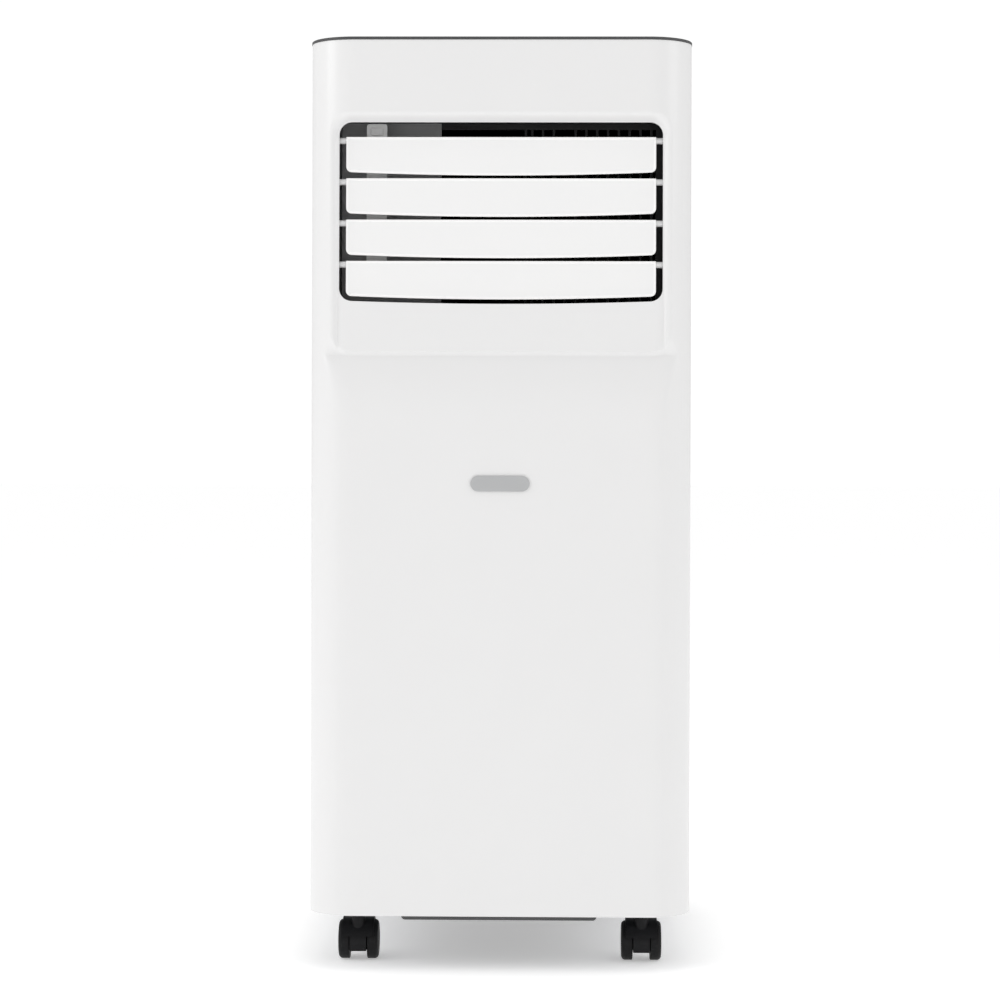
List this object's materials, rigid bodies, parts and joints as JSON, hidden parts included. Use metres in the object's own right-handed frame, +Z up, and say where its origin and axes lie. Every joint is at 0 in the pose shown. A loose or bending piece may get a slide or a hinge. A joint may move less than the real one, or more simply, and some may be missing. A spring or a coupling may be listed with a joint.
{
  "type": "portable air conditioner",
  "caption": "Slim upright portable air conditioner with tilting front louvres, a flat control top, rear intake grilles, a hose outlet and swivelling twin-wheel casters.",
  "frame": {"origin": "on the floor under the middle of the bounding box", "axes": "+Z up, +Y to the back where the hose outlet is, +X to the right seen from the front"},
  "size_m": [0.3, 0.348, 0.7274],
  "materials": {
    "white_casing": "fine satin white moulding",
    "white_louver": "satin white moulding",
    "dark_top": "dark grey moulding",
    "gloss_fascia": "gloss black",
    "display_glass": "smoked window",
    "circuit_board": "solder-masked board",
    "key_grey": "grey key cap",
    "grey_badge": "plain grey",
    "dark_duct": "dark grey moulding",
    "black_plastic": "black moulding",
    "caster_tread": "black moulding",
    "zinc_steel": "zinc plated",
    "filter_mesh": "fine mesh in a frame",
    "black_rubber": "matte",
    "galvanised_pan": "galvanised sheet",
    "foam_tray": "moulded foam and plastic",
    "black_enamel": "gloss black enamel",
    "coil_fins": "bright fins",
    "copper_pipe": "bare copper"
  },
  "bodies": {
    "casing": {"air_duct": "dark_duct", "badge": "grey_badge", "base_pan": "galvanised_pan", "base_plate": "dark_top", "blower_motor": "zinc_steel", "blower_scroll": "dark_duct", "compressor": "black_enamel", "compressor_grommets": "black_rubber", "condenser_coil": "coil_fins", "condenser_motor": "zinc_steel", "condenser_scroll": "dark_duct", "control_box": "zinc_steel", "control_fascia": "gloss_fascia", "cord_gland": "black_rubber", "cord_hooks": "white_casing", "cover_screws": "zinc_steel", "display_window": "display_glass", "drain_tray": "foam_tray", "evaporator_coil": "coil_fins", "exhaust_collar": "white_casing", "front_cover": "white_casing", "key_board": "circuit_board", "left_handle": "white_casing", "louver_motor": "zinc_steel", "lower_intake_grille": "white_casing", "main_board": "circuit_board", "outlet_frame": "dark_duct", "outlet_guard": "dark_duct", "rear_cover": "white_casing", "refrigerant_pipes": "copper_pipe", "right_handle": "white_casing", "top_cover": "dark_top"},
    "louver_1": {"louver_1": "white_louver"},
    "louver_2": {"louver_2": "white_louver"},
    "louver_3": {"louver_3": "white_louver"},
    "louver_4": {"louver_4": "white_louver"},
    "louver_link": {"louver_link": "white_louver"},
    "power_button": {"power_button": "key_grey"},
    "mode_button": {"mode_button": "key_grey"},
    "fan_button": {"fan_button": "key_grey"},
    "minus_button": {"minus_button": "key_grey"},
    "plus_button": {"plus_button": "key_grey"},
    "upper_grille": {"upper_intake_grille": "white_casing", "upper_filter": "filter_mesh"},
    "upper_drain_plug": {"upper_drain_plug": "black_rubber"},
    "lower_drain_plug": {"lower_drain_plug": "black_rubber"},
    "blower_wheel": {"blower_wheel": "black_plastic"},
    "condenser_wheel": {"condenser_wheel": "black_plastic"},
    "front_left_fork": {"front_left_caster_fork": "black_plastic"},
    "front_left_wheel_left": {"front_left_wheel_left": "caster_tread"},
    "front_left_wheel_right": {"front_left_wheel_right": "caster_tread"},
    "front_right_fork": {"front_right_caster_fork": "black_plastic"},
    "front_right_wheel_left": {"front_right_wheel_left": "caster_tread"},
    "front_right_wheel_right": {"front_right_wheel_right": "caster_tread"},
    "rear_left_fork": {"rear_left_caster_fork": "black_plastic"},
    "rear_left_wheel_left": {"rear_left_wheel_left": "caster_tread"},
    "rear_left_wheel_right": {"rear_left_wheel_right": "caster_tread"},
    "rear_right_fork": {"rear_right_caster_fork": "black_plastic"},
    "rear_right_wheel_left": {"rear_right_wheel_left": "caster_tread"},
    "rear_right_wheel_right": {"rear_right_wheel_right": "caster_tread"}
  },
  "joints": [
    {"name": "louver_1_tilt", "type": "hinge", "parent": "casing", "child": "louver_1", "pos_m": [0, -0.15859, 0.6478], "axis": [-1, 0, 0], "range_deg": [0, 60]},
    {"name": "louver_2_tilt", "type": "hinge", "parent": "casing", "child": "louver_2", "pos_m": [0, -0.15902, 0.6155], "axis": [-1, 0, 0], "range_deg": [0, 60]},
    {"name": "louver_3_tilt", "type": "hinge", "parent": "casing", "child": "louver_3", "pos_m": [0, -0.15945, 0.5832], "axis": [-1, 0, 0], "range_deg": [0, 60]},
    {"name": "louver_4_tilt", "type": "hinge", "parent": "casing", "child": "louver_4", "pos_m": [0, -0.15988, 0.5509], "axis": [-1, 0, 0], "range_deg": [0, 60]},
    {"name": "louver_link_pin", "type": "hinge", "parent": "louver_1", "child": "louver_link", "pos_m": [-0.098, -0.14659, 0.6478], "axis": [-1, 0, 0], "range_deg": [-60, 0]},
    {"name": "power_press", "type": "slide", "parent": "casing", "child": "power_button", "axis": [0, 0, -1], "range_m": [0, 0.0008], "stiffness_N_per_m": 800, "springref_m": -0.0008},
    {"name": "mode_press", "type": "slide", "parent": "casing", "child": "mode_button", "axis": [0, 0, -1], "range_m": [0, 0.0008], "stiffness_N_per_m": 800, "springref_m": -0.0008},
    {"name": "fan_press", "type": "slide", "parent": "casing", "child": "fan_button", "axis": [0, 0, -1], "range_m": [0, 0.0008], "stiffness_N_per_m": 800, "springref_m": -0.0008},
    {"name": "minus_press", "type": "slide", "parent": "casing", "child": "minus_button", "axis": [0, 0, -1], "range_m": [0, 0.0008], "stiffness_N_per_m": 800, "springref_m": -0.0008},
    {"name": "plus_press", "type": "slide", "parent": "casing", "child": "plus_button", "axis": [0, 0, -1], "range_m": [0, 0.0008], "stiffness_N_per_m": 800, "springref_m": -0.0008},
    {"name": "upper_grille_pull", "type": "slide", "parent": "casing", "child": "upper_grille", "axis": [0, 1, 0], "range_m": [0, 0.06]},
    {"name": "upper_drain_pull", "type": "slide", "parent": "casing", "child": "upper_drain_plug", "axis": [0, 1, 0], "range_m": [0, 0.016]},
    {"name": "lower_drain_pull", "type": "slide", "parent": "casing", "child": "lower_drain_plug", "axis": [0, 1, 0], "range_m": [0, 0.016]},
    {"name": "blower_spin", "type": "hinge", "parent": "casing", "child": "blower_wheel", "pos_m": [0, -0.032, 0.468], "axis": [0, 1, 0], "continuous": true},
    {"name": "condenser_spin", "type": "hinge", "parent": "casing", "child": "condenser_wheel", "pos_m": [0.034, 0.038, 0.178], "axis": [0, 1, 0], "continuous": true},
    {"name": "front_left_swivel", "type": "hinge", "parent": "casing", "child": "front_left_fork", "pos_m": [-0.1125, -0.124, 0.05], "axis": [0, 0, 1], "continuous": true},
    {"name": "front_left_roll_left", "type": "hinge", "parent": "front_left_fork", "child": "front_left_wheel_left", "pos_m": [-0.1239, -0.115, 0.0155], "axis": [1, 0, 0], "continuous": true},
    {"name": "front_left_roll_right", "type": "hinge", "parent": "front_left_fork", "child": "front_left_wheel_right", "pos_m": [-0.1011, -0.115, 0.0155], "axis": [1, 0, 0], "continuous": true},
    {"name": "front_right_swivel", "type": "hinge", "parent": "casing", "child": "front_right_fork", "pos_m": [0.1125, -0.124, 0.05], "axis": [0, 0, 1], "continuous": true},
    {"name": "front_right_roll_left", "type": "hinge", "parent": "front_right_fork", "child": "front_right_wheel_left", "pos_m": [0.1011, -0.115, 0.0155], "axis": [1, 0, 0], "continuous": true},
    {"name": "front_right_roll_right", "type": "hinge", "parent": "front_right_fork", "child": "front_right_wheel_right", "pos_m": [0.1239, -0.115, 0.0155], "axis": [1, 0, 0], "continuous": true},
    {"name": "rear_left_swivel", "type": "hinge", "parent": "casing", "child": "rear_left_fork", "pos_m": [-0.1125, 0.112, 0.05], "axis": [0, 0, 1], "continuous": true},
    {"name": "rear_left_roll_left", "type": "hinge", "parent": "rear_left_fork", "child": "rear_left_wheel_left", "pos_m": [-0.1239, 0.121, 0.0155], "axis": [1, 0, 0], "continuous": true},
    {"name": "rear_left_roll_right", "type": "hinge", "parent": "rear_left_fork", "child": "rear_left_wheel_right", "pos_m": [-0.1011, 0.121, 0.0155], "axis": [1, 0, 0], "continuous": true},
    {"name": "rear_right_swivel", "type": "hinge", "parent": "casing", "child": "rear_right_fork", "pos_m": [0.1125, 0.112, 0.05], "axis": [0, 0, 1], "continuous": true},
    {"name": "rear_right_roll_left", "type": "hinge", "parent": "rear_right_fork", "child": "rear_right_wheel_left", "pos_m": [0.1011, 0.121, 0.0155], "axis": [1, 0, 0], "continuous": true},
    {"name": "rear_right_roll_right", "type": "hinge", "parent": "rear_right_fork", "child": "rear_right_wheel_right", "pos_m": [0.1239, 0.121, 0.0155], "axis": [1, 0, 0], "continuous": true}
  ],
  "couplings": [
    {"joint": "louver_2_tilt", "follows": "louver_1_tilt", "ratio": 1},
    {"joint": "louver_3_tilt", "follows": "louver_1_tilt", "ratio": 1},
    {"joint": "louver_4_tilt", "follows": "louver_1_tilt", "ratio": 1},
    {"joint": "louver_link_pin", "follows": "louver_1_tilt", "ratio": -1}
  ]
}
